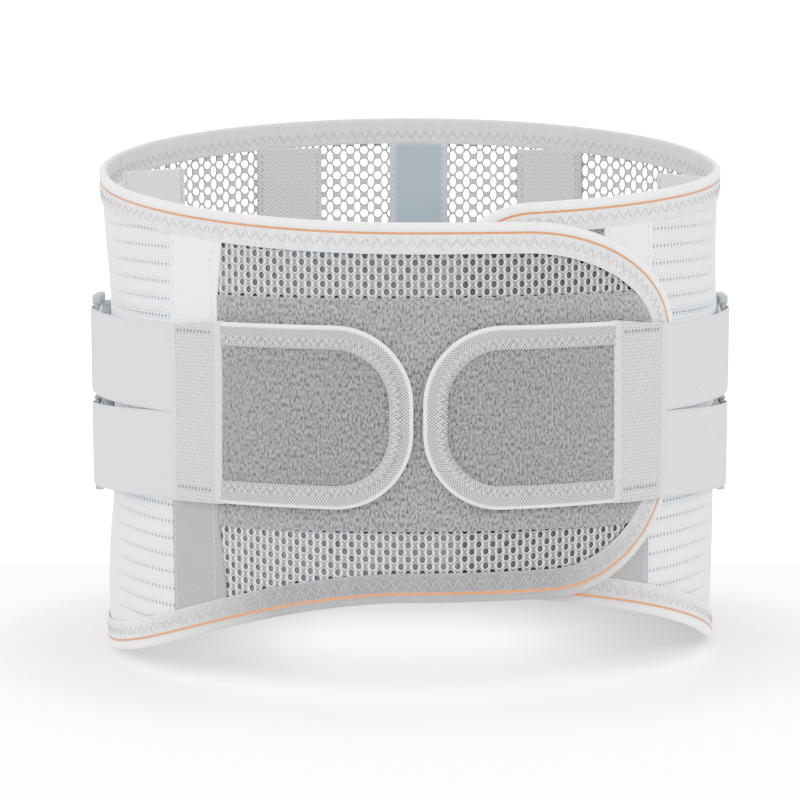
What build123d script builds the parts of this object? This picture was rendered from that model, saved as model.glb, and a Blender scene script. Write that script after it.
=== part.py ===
from build123d import *
import os
from math import sqrt

os.makedirs("parts", exist_ok=True)

# Driving dimensions in mm. X is the wearer's side to side, -Y is the front closure, +Z is up.
HALF_W, HALF_D = 160.5, 119.5   # inside half width and half depth of the closed belt
WALL = 2.5                      # cloth of the body
FRONT_CX, FRONT_A, FRONT_B = 2.5, 163.0, 124.5   # inside ellipse of the outer flap
TOP_SIDE, TOP_SLOPE = 256.5, 0.18                # top rim: height at the sides, fall per mm of depth
RISE_LEFT, RISE_RIGHT = 47.0, 0.46               # bottom rim: lift at the front, slope on the right
EDGE_W, EDGE_IN, EDGE_OUT, EDGE_FOLD = 15.0, 1.0, 1.0, 1.2   # folded edge tape
SEAM_Y, SEAM_GAP = 11.0, 0.3    # where the back meets the two wings
ROD_X, ROD_R = 166.5, 1.7       # rods of the plastic loops
REAR_Y, FRONT_Y = 10.0, -8.0
WEB_T, WEB_GAP = 1.2, 0.3       # strap webbing and its clearance on a rod
BAND_W = 44.0
UPPER_Z, LOWER_Z = 138.0, 87.0  # lower edge of the upper and the lower strap at the loops
FLAP_END, INNER_END = 130.5, 15.0
TAB_LOW, TAB_HIGH, TAB_R = 94.0, 184.0, 38.0
BACK_X = 5.0                    # middle of the back stays
CENTRE_Y = 4.5                  # moves the whole part so that its box is centred
HIGH = 320.0

BODY = (0.0, HALF_W, HALF_D)
FRONT = (FRONT_CX, FRONT_A, FRONT_B)
LEFT_TAB = (2.5, 171.95, 129.5)
RIGHT_TAB = (8.0, 161.45, 129.5)


def shell(ellipse, inner, outer, x0, x1, y0, y1, low=-5.0, high=HIGH):
    """Upright slice of an elliptic tube between two offsets, inside a plan rectangle."""
    cx, a, b = ellipse
    plan = Pos(cx, 0) * (Ellipse(a + outer, b + outer) - Ellipse(a + inner, b + inner))
    plan &= Pos((x0 + x1) / 2, (y0 + y1) / 2) * Rectangle(x1 - x0, y1 - y0)
    return Pos(0, 0, low) * extrude(plan, high - low)


def side_prism(points, x0, x1):
    """Prism along X from (y, z) corners."""
    face = make_face(Polyline(*points, close=True))
    return Pos(x0, 0, 0) * extrude(Plane.YZ * face, x1 - x0)


def front_prism(face, y0=-150.0, y1=0.0):
    """Prism along Y from a face drawn in (x, z)."""
    return Pos(0, y1, 0) * extrude(Plane.XZ * face, y1 - y0)


def top_at(y):
    return TOP_SIDE + TOP_SLOPE * y


def bottom_left(y):
    return RISE_LEFT * (min(-y, 127.0) / 127.0) ** 2.4 if y < 0 else 0.0


def bottom_right(y):
    return RISE_RIGHT * (-12.0 - y) if y < -12 else 0.0


def back_zone(inset):
    """Space between the rims of the back, a distance in from both."""
    y1 = 140.0
    corners = [(0, inset), (y1, inset), (y1, top_at(y1) - inset), (0, top_at(0) - inset)]
    return side_prism(corners, -200, 200)


def left_zone(inset):
    """Outline of the left wing: level at the side, then the long flap with its rounded end."""
    steps = [20.0] + [-11.0 * n for n in range(13)]
    low = [(y, bottom_left(y) + inset) for y in steps]
    high = [(y, top_at(y) - inset) for y in (-140.0, 20.0)]
    side = side_prism(low + [(-140.0, RISE_LEFT + inset)] + high, -200, 0)
    z0, z1, x1 = RISE_LEFT + inset, top_at(-127) - inset, FLAP_END - 0.7 * inset
    with BuildSketch() as outline:
        with BuildLine():
            Line((-1, z0), (70, z0))
            EllipticalCenterArc((70, 113), x1 - 70, 113 - z0, start_angle=270, arc_size=90)
            Line((x1, 113), (x1, 178))
            EllipticalCenterArc((55, 178), x1 - 55, z1 - 178, start_angle=0, arc_size=90)
            Line((55, z1), (-1, z1))
            Line((-1, z1), (-1, z0))
        make_face()
    return side + front_prism(outline.sketch)


def right_zone(inset):
    """Outline of the right wing, whose hidden end is rounded under the left one."""
    ys = (20.0, -12.0, -140.0)
    low = [(y, bottom_right(y) + inset) for y in ys]
    high = [(y, 257.0 + 0.13 * y - inset) for y in (-140.0, 20.0)]
    zone = side_prism(low + high, INNER_END + inset, 200)
    corner_x = 60.0
    for centre_z, rim_z in ((200.0, 242.0), (92.0, 47.0)):
        reach_x, reach_z = corner_x - INNER_END, abs(rim_z - centre_z)
        way = 1 if rim_z > centre_z else -1
        corner = Pos(corner_x - 30, centre_z + way * 35) * Rectangle(60, 70)
        corner -= Pos(corner_x, centre_z) * Ellipse(reach_x - inset, reach_z - inset)
        zone -= front_prism(corner)
    return zone


def edge_tape(ellipse, zone, x0, x1, y0, y1):
    """Folded tape round a rim: outer skin less the cloth that it wraps."""
    tape = shell(ellipse, -EDGE_IN, WALL + EDGE_OUT, x0, x1, y0, y1) & (zone(0) - zone(EDGE_W))
    return tape - (shell(ellipse, 0, WALL, x0 - 1, x1 + 1, y0 - 1, y1 + 1) & zone(EDGE_FOLD))


def pocket(ellipse, zone, x0, x1, y0, y1, stay_w):
    """Stay in its inside pocket: returns (pocket, stay)."""
    mid = (x0 + x1) / 2
    cover = shell(ellipse, -1.8, 0, x0, x1, y0, y1) & zone(EDGE_W + 0.1)
    bone = shell(ellipse, -1.2, 0, mid - stay_w / 2, mid + stay_w / 2, y0, y1) & zone(EDGE_W + 8)
    return cover - bone, bone


def back_parts():
    y0, y1 = SEAM_Y + SEAM_GAP / 2, 140.0
    parts = {"back_mesh_panel": shell(BODY, 0, WALL, -200, 200, y0, y1) & back_zone(EDGE_FOLD)}
    tape = edge_tape(BODY, back_zone, -200, 200, y0, y1)
    parts["back_top_edge_tape"] = tape & Pos(0, 0, 250) * Box(500, 500, 200)
    parts["back_bottom_edge_tape"] = tape & Pos(0, 0, 0) * Box(500, 500, 200)
    strips = {"centre": (-17, 17, 22), "left_inner": (-93, -56, 20), "right_inner": (57, 93, 20)}
    strips |= {"left_outer": (-161.5, -132, 12), "right_outer": (133, 154, 10)}
    for name, (x0, x1, stay_w) in strips.items():
        x0, x1 = x0 + BACK_X, x1 + BACK_X
        cover, bone = pocket(BODY, back_zone, x0, x1, 15.0, y1, stay_w)
        parts[f"{name}_stay_pocket"], parts[f"{name}_stay"] = cover, bone
    parts["care_label"] = shell(BODY, -0.5, 0, 30, 56, 50, y1, 30, 68)
    return parts


def rod_loop(side, y, opening, past=0.0):
    """Plan of webbing turned half round a rod; opening is +1 when it is open towards +Y."""
    ring = Circle(ROD_R + WEB_GAP + WEB_T) - Circle(ROD_R + WEB_GAP)
    ring &= Pos(0, -opening * 5.0) * Rectangle(20, 10 + 2 * past)
    return Pos(side * ROD_X, y) * ring


def back_band(z0):
    """One band across the back, turned round the rear rod of the plastic loop on each side."""
    k0, k1 = WALL, WALL + WEB_T
    plan = Ellipse(HALF_W + k1, HALF_D + k1) - Ellipse(HALF_W + k0, HALF_D + k0)
    plan &= Pos(0, 75 + 16) * Rectangle(500, 150)
    outer_x, inner_x = ROD_X + ROD_R + WEB_GAP + WEB_T, ROD_X - ROD_R - WEB_GAP
    for side in (-1, 1):
        ply = [(outer_x, REAR_Y), (outer_x - WEB_T, REAR_Y), (156.4, 36), (157.9, 37)]
        foot = [(inner_x - WEB_T, REAR_Y), (inner_x, REAR_Y), (162.4, 19), (161.6, 19)]
        plan += rod_loop(side, REAR_Y, 1)
        for corners in (ply, foot):
            plan += make_face(Polyline(*[(side * x, y) for x, y in corners], close=True))
    return Pos(0, 0, z0) * extrude(plan, BAND_W)


def plastic_loop(side, z0):
    """Rectangular loop: two rods and two end bars."""
    bar_z, clear = 2.2, 0.5
    mid_y, length = (REAR_Y + FRONT_Y) / 2, REAR_Y - FRONT_Y
    loop = Part()
    for y in (REAR_Y, FRONT_Y):
        rod = Pos(side * ROD_X, y, z0 - clear - 0.5) * Cylinder(
            ROD_R, BAND_W + 2 * clear + 1, align=(Align.CENTER, Align.CENTER, Align.MIN)
        )
        loop += rod
    for z in (z0 - clear - bar_z, z0 + BAND_W + clear):
        bar = extrude(Pos(side * ROD_X, mid_y) * SlotCenterToCenter(length, 2 * ROD_R, 90), bar_z)
        loop += Pos(0, 0, z) * bar
    return loop


def left_parts():
    y1, seam, tape_end = SEAM_Y - SEAM_GAP / 2, -118.0, -94.0
    inside = left_zone(EDGE_FOLD)
    parts = {
        "left_side_elastic": shell(FRONT, 0, WALL, -200, seam, -140, y1) & inside,
        "left_outer_flap_mesh": shell(FRONT, 0, WALL, seam, 200, -140, 0) & inside,
        "left_edge_tape": edge_tape(FRONT, left_zone, -200, 200, -140, y1),
        "left_seam_tape": shell(FRONT, WALL, WALL + 0.8, seam, tape_end, -140, 0)
        & left_zone(EDGE_W + 0.1),
    }
    cover, bone = pocket(FRONT, left_zone, seam + 1, tape_end - 1, -140, 0, 12)
    parts["left_front_stay_pocket"], parts["left_front_stay"] = cover, bone
    patch = Pos(12, 138.5) * Rectangle(213, 117)
    parts["front_loop_patch"] = (
        shell(FRONT, WALL, WALL + 1.5, tape_end + 0.1, 140, -140, 0)
        & front_prism(patch) & left_zone(EDGE_W + 0.1)
    )
    hook = Pos(77.5, 138.5) * Rectangle(75, 110)
    parts["flap_hook_patch"] = (
        shell(FRONT, -1.5, 0, 40, 115, -140, 0) & front_prism(hook) & left_zone(EDGE_W + 0.1)
    )
    return parts


def right_parts():
    y1, seam, tape_end = SEAM_Y - SEAM_GAP / 2, 119.0, 94.0
    inside = right_zone(EDGE_FOLD)
    parts = {
        "right_side_elastic": shell(BODY, 0, WALL, seam, 200, -140, y1) & inside,
        "right_inner_flap_mesh": shell(BODY, 0, WALL, 0, seam, -140, 0) & inside,
        "right_edge_tape": edge_tape(BODY, right_zone, 0, 200, -140, y1),
        "right_seam_tape": shell(BODY, WALL, WALL + 0.8, tape_end, seam, -140, 0)
        & right_zone(EDGE_W + 0.1),
        "inner_flap_loop_panel": shell(BODY, WALL, WALL + 0.6, 0, tape_end - 0.2, -140, 0)
        & right_zone(EDGE_W + 0.1),
    }
    cover, bone = pocket(BODY, right_zone, tape_end + 1, seam - 1, -140, 0, 12)
    parts["right_front_stay_pocket"], parts["right_front_stay"] = cover, bone
    return parts


def tab_face(side, inset):
    """Rounded tab seen from the front; it runs on past the web so that this side stays open."""
    near, far = (93.0, -1.5) if side < 0 else (100.0, 6.5)
    far = far + inset
    z0, z1, r = TAB_LOW + inset, TAB_HIGH - inset, TAB_R - inset
    with BuildSketch() as face:
        with BuildLine():
            Line((near + 0, z0), (far + r, z0))
            ThreePointArc((far + r, z0), (far + r * 0.2929, z0 + r * 0.2929), (far, z0 + r))
            Line((far, z0 + r), (far, z1 - r))
            ThreePointArc((far, z1 - r), (far + r * 0.2929, z1 - r * 0.2929), (far + r, z1))
            Line((far + r, z1), (near, z1))
            Line((near, z1), (near, z0))
        make_face()
    return mirror(face.sketch, Plane.YZ) if side < 0 else face.sketch


def strap(side, ellipse, z0, z_web):
    """Strap from its turn round the front rod to under the web."""
    cx, a, b = ellipse
    half = WEB_T / 2
    end = 98.0 if side < 0 else 105.0
    plan = Pos(cx, 0) * (Ellipse(a + half, b + half) - Ellipse(a - half, b - half))
    plan &= Pos(side * (end + 50), FRONT_Y - 62.5) * Rectangle(100, 125)
    plan += rod_loop(side, FRONT_Y, -1, 0.01)
    # the sewn return ply on the inner side
    inner = ROD_X - ROD_R - WEB_GAP
    meet_y = -36.0
    meet = cx + side * (a - half) * sqrt(1 - (meet_y / (b - half)) ** 2)
    ply = [(side * inner, FRONT_Y), (side * (inner - WEB_T), FRONT_Y)]
    ply += [(meet - side * 0.7, meet_y), (meet + side * 0.5, meet_y)]
    plan += make_face(Polyline(*ply, close=True))
    zone = [(0, z0), (FRONT_Y, z0), (-88, z_web), (-140, z_web)]
    zone += [(-140, z_web + BAND_W), (-88, z_web + BAND_W), (FRONT_Y, z0 + BAND_W), (0, z0 + BAND_W)]
    return extrude(plan, HIGH) & side_prism(zone, -200, 200)


def tab_parts(side):
    name = "left" if side < 0 else "right"
    ellipse = LEFT_TAB if side < 0 else RIGHT_TAB
    half = WEB_T / 2
    near, web_end = (93.0, 121.0) if side < 0 else (100.0, 127.0)
    x0, x1 = sorted((side * near, side * -10))

    def slab(k0, k1, inset):
        return shell(ellipse, k0, k1, x0, x1, -145, -20) & front_prism(tab_face(side, inset))

    parts = {f"{name}_tab_felt": slab(0, 2.2, EDGE_FOLD), f"{name}_tab_hook_layer": slab(-half, 0, 11.1)}
    frame = slab(-half, 2.8, 0) - slab(-2, 4, 11.0)
    parts[f"{name}_tab_edge_tape"] = frame - slab(0, 2.2, EDGE_FOLD)
    corners = [(near, TAB_LOW), (web_end, TAB_LOW - 1.5), (web_end, TAB_HIGH - 3), (near, TAB_HIGH)]
    web = make_face(Polyline(*[(side * x, z) for x, z in corners], close=True))
    x0, x1 = sorted((side * near, side * web_end))
    parts[f"{name}_tab_web"] = shell(ellipse, half, half + 1.4, x0, x1, -145, -20) & front_prism(web)
    parts[f"{name}_upper_strap"] = strap(side, ellipse, UPPER_Z, 137.1)
    parts[f"{name}_lower_strap"] = strap(side, ellipse, LOWER_Z, 92.9)
    return parts


pieces = back_parts()
pieces["upper_back_band"] = back_band(UPPER_Z)
pieces["lower_back_band"] = back_band(LOWER_Z)
pieces |= left_parts() | right_parts() | tab_parts(-1) | tab_parts(1)
for side, name in ((-1, "left"), (1, "right")):
    pieces[f"{name}_upper_plastic_loop"] = plastic_loop(side, UPPER_Z)
    pieces[f"{name}_lower_plastic_loop"] = plastic_loop(side, LOWER_Z)

for name, piece in pieces.items():
    piece = Pos(0, CENTRE_Y, 0) * piece
    solids = piece.solids()
    print(name, len(solids), "solids", [round(s.volume) for s in solids][:4])
    export_step(Compound(children=solids) if len(solids) > 1 else solids[0], f"parts/{name}.step")
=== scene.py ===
import bpy, bmesh, math
import numpy as np
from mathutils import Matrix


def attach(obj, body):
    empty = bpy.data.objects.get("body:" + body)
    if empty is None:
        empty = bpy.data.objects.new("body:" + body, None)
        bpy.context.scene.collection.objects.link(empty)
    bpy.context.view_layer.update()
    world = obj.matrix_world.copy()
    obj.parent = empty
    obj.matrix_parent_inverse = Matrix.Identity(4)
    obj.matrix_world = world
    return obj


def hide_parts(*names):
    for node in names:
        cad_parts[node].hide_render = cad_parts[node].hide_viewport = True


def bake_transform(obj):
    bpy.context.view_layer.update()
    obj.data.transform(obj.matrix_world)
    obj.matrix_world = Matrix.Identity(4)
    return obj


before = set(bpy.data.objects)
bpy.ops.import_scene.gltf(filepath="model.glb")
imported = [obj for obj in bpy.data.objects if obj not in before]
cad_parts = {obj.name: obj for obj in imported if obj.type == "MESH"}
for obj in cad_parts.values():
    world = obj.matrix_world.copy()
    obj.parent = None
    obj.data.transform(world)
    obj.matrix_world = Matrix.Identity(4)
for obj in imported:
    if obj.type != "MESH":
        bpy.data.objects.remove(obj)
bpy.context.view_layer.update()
bpy.ops.object.select_all(action="DESELECT")

# Camera: a long lens a little above the belt, looking at its middle from the front, and shifted a
# little so that the belt stands right of centre.
def placed(name, data):
    made = bpy.data.objects.new(name, data)
    bpy.context.collection.objects.link(made)
    return made


MIDDLE_Y = 0.0045
look_height, eye_distance, eye_rise = 0.130, 1.30, math.radians(8.0)
eye_data = bpy.data.cameras.new("camera")
eye_data.lens, eye_data.sensor_width = 108.8, 36.0
eye_data.shift_x = -0.0125
eye_data.clip_end = 20.0
camera = placed("camera", eye_data)
camera.location = (
    0, MIDDLE_Y - eye_distance * math.cos(eye_rise), look_height + eye_distance * math.sin(eye_rise))
camera.rotation_euler = (math.pi / 2 - eye_rise, 0, 0)
bpy.context.scene.camera = camera

# Studio: a glowing pale table with a painted shadow under the belt; a white surround, brighter from above.
# Two soft lamps stand left and right, a third hangs in front above and a fourth overhead.
class Field:
    """A number or colour that varies over a surface; arithmetic on it adds shader nodes."""

    def __init__(self, tree, socket):
        self.tree, self.socket = tree, socket

    def maths(self, operation, *others):
        return node(self.tree, "Math", (self, *others), operation=operation)[0]

    def __add__(self, other):
        return self.maths("ADD", other)

    def __sub__(self, other):
        return self.maths("SUBTRACT", other)

    def __rsub__(self, other):
        return node(self.tree, "Math", (other, self), operation="SUBTRACT")[0]

    def __mul__(self, other):
        return self.maths("MULTIPLY", other)

    def __truediv__(self, other):
        return self.maths("DIVIDE", other)

    def __abs__(self):
        return self.maths("ABSOLUTE")

    def ramp(self, start, end, low, high):
        """Goes from low to high as this one goes from start to end, and stays level beyond."""
        return node(self.tree, "MapRange", (self, start, end, low, high))[0]

    def wave(self, pitch):
        return (self * (2 * math.pi / pitch)).maths("SINE")


def feed(tree, inputs, values):
    """Links or sets a node's inputs."""
    for key, value in values.items():
        if isinstance(value, Field):
            tree.links.new(value.socket, inputs[key])
        else:
            inputs[key].default_value = value


def node(tree, kind, inputs=(), **settings):
    """Adds a shader node, feeds its inputs, and returns its outputs by number and by name."""
    made = tree.nodes.new("ShaderNode" + kind)
    for key, value in settings.items():
        setattr(made, key, value)
    feed(tree, made.inputs, inputs if isinstance(inputs, dict) else dict(enumerate(inputs)))
    outs = [Field(tree, socket) for socket in made.outputs]
    return {**dict(enumerate(outs)), **{out.socket.name: out for out in outs}}


def blank(name):
    """A new material, its node tree and its shader's inputs."""
    made = bpy.data.materials.new(name)
    made.use_nodes = True
    return made, made.node_tree, made.node_tree.nodes["Principled BSDF"].inputs


bpy.ops.mesh.primitive_plane_add(size=1, location=(0, 0, 0))
table = bpy.context.object
table.name = "studio_table"
table.scale = (3.0, 0.9, 1)
table.location = (0, -0.25, -0.0006)
bpy.ops.object.transform_apply(location=True, rotation=True, scale=True)
table_paint, tree, shader = blank("table paint")
# Painted shadow: the table's glow, seen only by the camera, is dimmed by ambient occlusion close under the
# belt.
painted_shadow_openness = node(tree, "AmbientOcclusion", {"Distance": 0.11}, samples=8)["AO"]
glow = node(tree, "LightPath")["Is Camera Ray"] * 8.5
feed(tree, shader, {
    "Base Color": (0.86, 0.86, 0.86, 1), "Roughness": 0.8, "Emission Color": (1, 1, 1, 1),
    "Emission Strength": painted_shadow_openness.maths("POWER", 8.0) * glow})
table.data.materials.append(table_paint)
surround = bpy.data.worlds.new("surround")
bpy.context.scene.world = surround
surround.use_nodes = True
sky = surround.node_tree
upward = node(sky, "SeparateXYZ", (node(sky, "TexCoord")["Generated"],))["Z"]
graded = upward.ramp(-0.4, 0.7, 0.8, 4.2)
strength = node(sky, "LightPath")["Is Camera Ray"].ramp(0.0, 1.0, graded, 40.0)
feed(sky, sky.nodes["Background"].inputs, {"Color": (1, 1, 1, 1), "Strength": strength})
for name, place, aim_height, size, power in (
        ("lamp left", (-1.5, -0.6, 0.8), 0.13, 0.7, 42), ("lamp right", (1.5, -0.6, 0.8), 0.13, 0.7, 42),
        ("lamp front above", (-0.15, -0.80, 0.85), 0.14, 0.5, 14),
        ("lamp above", (0.1, 0.3, 1.5), 0.1, 0.9, 10)):
    data = bpy.data.lights.new(name, "AREA")
    data.size, data.energy = size, power
    lamp = placed(name, data)
    lamp.location = place
    away = np.array(place) - (0, 0, aim_height)
    lamp.rotation_euler = (
        math.acos(away[2] / np.linalg.norm(away)), 0, math.atan2(away[1], away[0]) + math.pi / 2)

# Back mesh: one open knit from side to side, staggered oval holes between paired wavy strands,
# cut in two halves that meet under the middle pocket.
BODY = (0.0, 0.1605, 0.1195)
FLAP = (0.0025, 0.1630, 0.1245)
SEAM_Y = 0.024
arc_tables = {}


def girth(e):
    """Arc length against angle round an ellipse (centre x, half width, half depth), 0 in front."""
    if e not in arc_tables:
        t = np.linspace(-1.6 * np.pi, 1.6 * np.pi, 6401)
        speed = np.hypot(e[1] * np.sin(t), e[2] * np.cos(t))
        s = np.concatenate([[0], np.cumsum((speed[1:] + speed[:-1]) / 2 * np.diff(t))])
        arc_tables[e] = (t, s - np.interp(-np.pi / 2, t, s))
    return arc_tables[e]


def s_at_x(e, x, back=False):
    t = np.arccos(np.clip((np.asarray(x) - e[0]) / e[1], -1, 1))
    return np.interp(t if back else -t, *girth(e))


def s_at_y(e, y, side, back=False):
    t = np.arcsin(np.clip(np.asarray(y) / e[2], -1, 1))
    return np.interp(t if side > 0 else (np.pi - t if back else -np.pi - t), *girth(e))


def xy_at(e, s):
    t, table_s = girth(e)
    t = np.interp(s, table_s, t)
    return e[0] + e[1] * np.cos(t), e[2] * np.sin(t)


def wrap(e, flat):
    """Flat points (length along the girth, height, distance out) on the ellipse; the left strap
    pulls the cloth in a little at the side."""
    flat = np.asarray(flat, float)
    x, y = xy_at(e, flat[:, 0])
    nx, ny = (x - e[0]) / e[1] ** 2, y / e[2] ** 2
    size = np.hypot(nx, ny)
    nx, ny = nx / size, ny / size
    z = flat[:, 1]
    pulled_in = np.exp(-(((x + 0.163) / 0.028) ** 2)) * np.exp(-(((z - 0.135) / 0.075) ** 4))
    uneven = 0.0003 * np.sin(41 * x - 67 * z) + 0.0002 * np.sin(97 * y + 53 * z)
    k = flat[:, 2] - 0.0045 * pulled_in * (e in (BODY, FLAP)) + uneven
    return np.stack([x + nx * k, y + ny * k + MIDDLE_Y, z], 1)


def cloth_object(name, points, faces, uv):
    """A smooth piece with a cloth map in metres."""
    mesh = bpy.data.meshes.new(name)
    mesh.from_pydata(points.tolist(), [], [list(map(int, f)) for f in faces])
    layer = mesh.uv_layers.new(name="cloth")
    corner = np.zeros(len(mesh.loops), int)
    mesh.loops.foreach_get("vertex_index", corner)
    layer.data.foreach_set("uv", np.asarray(uv, float)[corner].astype(np.float32).ravel())
    mesh.validate()
    mesh.shade_smooth()
    return placed(name, mesh)


def piece(name, e, flat, faces, uv=None):
    """A cloth piece from flat points, wrapped; its map holds metres along and up."""
    flat = np.asarray(flat, float)
    return cloth_object(name, wrap(e, flat), faces, flat[:, :2] if uv is None else uv)


def top_rim(y):
    """Height of the top rim, which rises from front to back."""
    return 0.2565 + 0.18 * y


def holed(name, e, cells, shapes, k0, k1):
    """Cloth full of real holes. cells are (s, z, kind); shapes holds each kind's outline and hole
    as equal rings of points, and neighbours share their outline points."""
    outlines = np.array([shapes[kind][0] + (s, z) for s, z, kind in cells])
    rings = np.array([shapes[kind][1] + (s, z) for s, z, kind in cells])
    count, n = outlines.shape[:2]
    spots, index = np.unique(np.round(outlines.reshape(-1, 2), 5), axis=0, return_inverse=True)
    index = index.reshape(count, n)
    own = len(spots) + np.arange(count * n).reshape(count, n)
    layer = len(spots) + count * n
    flat = np.concatenate([spots, rings.reshape(-1, 2)])
    rim = np.concatenate([np.zeros(len(spots)), np.ones(count * n)])
    lower = 0.25 * (k1 - k0) * rim
    flat = np.concatenate([np.column_stack([flat, k1 - lower]), np.column_stack([flat, k0 + lower])])
    a, b, c, d = index, np.roll(index, -1, 1), own, np.roll(own, -1, 1)
    faces = [np.stack(quad, -1).reshape(-1, 4) for quad in (
        (a, b, d, c), (c + layer, d + layer, b + layer, a + layer), (c, d, d + layer, c + layer))]
    sides = np.stack([a, b], -1).reshape(-1, 2)
    _, first, uses = np.unique(np.sort(sides, 1), axis=0, return_index=True, return_counts=True)
    a, b = sides[first[uses == 1]].T
    faces = np.concatenate(faces + [np.stack([b, a, a + layer, b + layer], -1)])
    made = piece(name, e, flat, faces)
    held = made.data.attributes.new("rim", "FLOAT", "POINT")
    held.data.foreach_set("value", np.tile(rim, 2).astype(np.float32))
    return made


def oval(wide, tall, sides=12):
    turn = np.arange(sides) * 2 * np.pi / sides
    return np.stack([wide * np.cos(turn), tall * np.sin(turn)], 1)


def knit_shapes(pitch, holes, tips):
    """Hexagon outline and 12-sided hole of the two kinds of cell in a staggered knit."""
    ps, pz = pitch
    shapes = []
    for n in (0, 1):
        edge, tip = pz / 2 - tips[1 - n], tips[n]
        quarter = np.array([(ps / 2, 0), (ps / 2, edge), (ps / 4, (edge + tip) / 2), (0, tip)])
        flip = quarter[-2:0:-1]
        outline = np.concatenate([quarter, flip * (-1, 1), -quarter, flip * (1, -1)])
        shapes.append((outline, oval(*holes[n])))
    return shapes


def knit_cells(pitch, start, end, keep):
    """Centres of staggered cells from one corner to the other, where keep(s, z) says so."""
    cells = []
    for j in range(int((end[1] - start[1]) / (pitch[1] / 2)) + 2):
        for i in range(int((end[0] - start[0]) / pitch[0]) + 2):
            s, z = start[0] + (i + 0.5 * (j % 2)) * pitch[0], start[1] + j * pitch[1] / 2
            if keep(s, z):
                cells.append((s, z, j % 2))
    return cells


def group(name, inputs, work):
    """A node group with these number inputs, from which work makes its Height and Shade."""
    tree = bpy.data.node_groups.new(name, "ShaderNodeTree")
    for label, value in inputs.items():
        socket = tree.interface.new_socket(label, in_out="INPUT", socket_type="NodeSocketFloat")
        socket.default_value = value
    for label in ("Height", "Shade"):
        tree.interface.new_socket(label, in_out="OUTPUT", socket_type="NodeSocketFloat")
    given = tree.nodes.new("NodeGroupInput").outputs
    leave = tree.nodes.new("NodeGroupOutput").inputs
    results = work(tree, *(Field(tree, given[label]) for label in inputs))
    feed(tree, leave, dict(zip(("Height", "Shade"), results)))
    return tree


def cloth_place(tree):
    return node(tree, "UVMap", uv_map="cloth")[0]


def cloth_xy(tree):
    """Metres along and up the cloth."""
    split = node(tree, "SeparateXYZ", (cloth_place(tree),))
    return split["X"], split["Y"]


def noise(tree, place, scale, detail, roughness=0.5):
    return node(tree, "TexNoise", {
        "Vector": place, "Scale": scale, "Detail": detail, "Roughness": roughness})[0]


def mix(tree, share, first, second, way="MIX"):
    """Colour between two others, or their product."""
    ends = [end if isinstance(end, Field) else (*end, 1) for end in (first, second)]
    return node(tree, "Mix", {0: share, 6: ends[0], 7: ends[1]}, data_type="RGBA", blend_type=way)[2]


def crossing(tree, across, up, lean, gap_shade):
    """Threads crossing, counted per metre across and up; lean makes a twill of it."""
    along, height = cloth_xy(tree)
    up = height * up * (2 * math.pi)
    warp = (up * lean + along * across * (2 * math.pi)).maths("SINE")
    weft = up.maths("SINE") * 0.35 + 0.65
    proud = warp * weft * 0.5 + 0.5
    return proud, proud * (1 - gap_shade) + gap_shade


def clouds_and_specks(tree, patch_size, speck_size, amount):
    """Cloudy patches and fine specks, for dye, lint and handling."""
    place = node(tree, "TexCoord")["Object"]
    patch, speck = noise(tree, place, patch_size, 3.0), noise(tree, place, speck_size, 1.0)
    return speck, (patch + speck - 1.0) * (amount * 2.0) + 1.0


weave = group("weave", {"Across": 900, "Up": 900, "Lean": 0.0, "Gap shade": 0.8}, crossing)
unevenness = group(
    "unevenness", {"Patch size": 60.0, "Speck size": 2500.0, "Amount": 0.1}, clouds_and_specks)


def cloth(name, colour, threads, relief=0.0001, uneven=0.08, sheen=0.12, extra=None):
    """Cloth material: threads (across, up, lean, gap shade) with uneven dye.
    extra(tree) adds its own height and shade, and may give a colour in place of the plain one."""
    made, tree, shader = blank(name)
    woven = node(tree, "Group", threads, node_tree=weave)
    dyed = node(tree, "Group", {"Amount": uneven}, node_tree=unevenness)
    height, shade = woven["Height"], woven["Shade"] * dyed["Shade"]
    if extra:
        added_height, added_shade, *given = extra(tree)
        height = added_height * 2.5 + height
        shade = shade * added_shade
        colour = given[0] if given else colour
    bump = node(tree, "Bump", {"Strength": 1.0, "Distance": relief, "Height": height})[0]
    feed(tree, shader, {
        "Base Color": mix(tree, 1.0, colour, shade, "MULTIPLY"), "Normal": bump, "Roughness": 0.85,
        "Sheen Weight": sheen, "Sheen Roughness": 0.5, "Specular IOR Level": 0.25})
    return made


def hole_rim(tree):
    """1 at the rim of a hole, 0 midway to the next hole."""
    return node(tree, "Attribute", attribute_name="rim")["Fac"]


def strands(tree):
    """Two strands side by side round each hole: rolled rims, with painted shade in the furrow along the
    cells' edges and at the hole rims.
    """
    roll = (hole_rim(tree) * math.pi).maths("SINE")
    return roll, roll.maths("POWER", 0.5) * 0.35 + 0.65


def fasten(made, paint, slot, body, stands_for=(), flat=None, turns=False):
    """Gives a piece its material and fixes it to its body; with turns it stays unattached, its transform
    baked in place. slot is not used.
    """
    made.data.materials.append(paint)
    if stands_for:
        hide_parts(*stands_for)
    if turns:
        side = -0.163 if body == "left_wing" else 0.163
        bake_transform(made)
    else:
        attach(made, body)
    return made


back_pitch = (0.0079, 0.0073)
back_middle = s_at_x(BODY, 0.005, back=True)
back_ends = (s_at_y(BODY, SEAM_Y, 1), s_at_y(BODY, SEAM_Y, -1, back=True))
# The knit's dark grey is partly painted shade: the cloth itself is paler, darkened for the shade inside the
# belt.
back_knit = cloth("back knit", (0.25, 0.255, 0.265), (1600, 1600, 0.0, 0.85), extra=strands)
back_shapes = knit_shapes(back_pitch, ((0.0020, 0.00195), (0.00155, 0.0028)), (0.00275, 0.0034))
back_start = back_middle - 27 * back_pitch[0]


def on_back(s, z):
    return back_ends[0] < s < back_ends[1] and 0.006 < z < top_rim(xy_at(BODY, s)[1]) - 0.006


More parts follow.
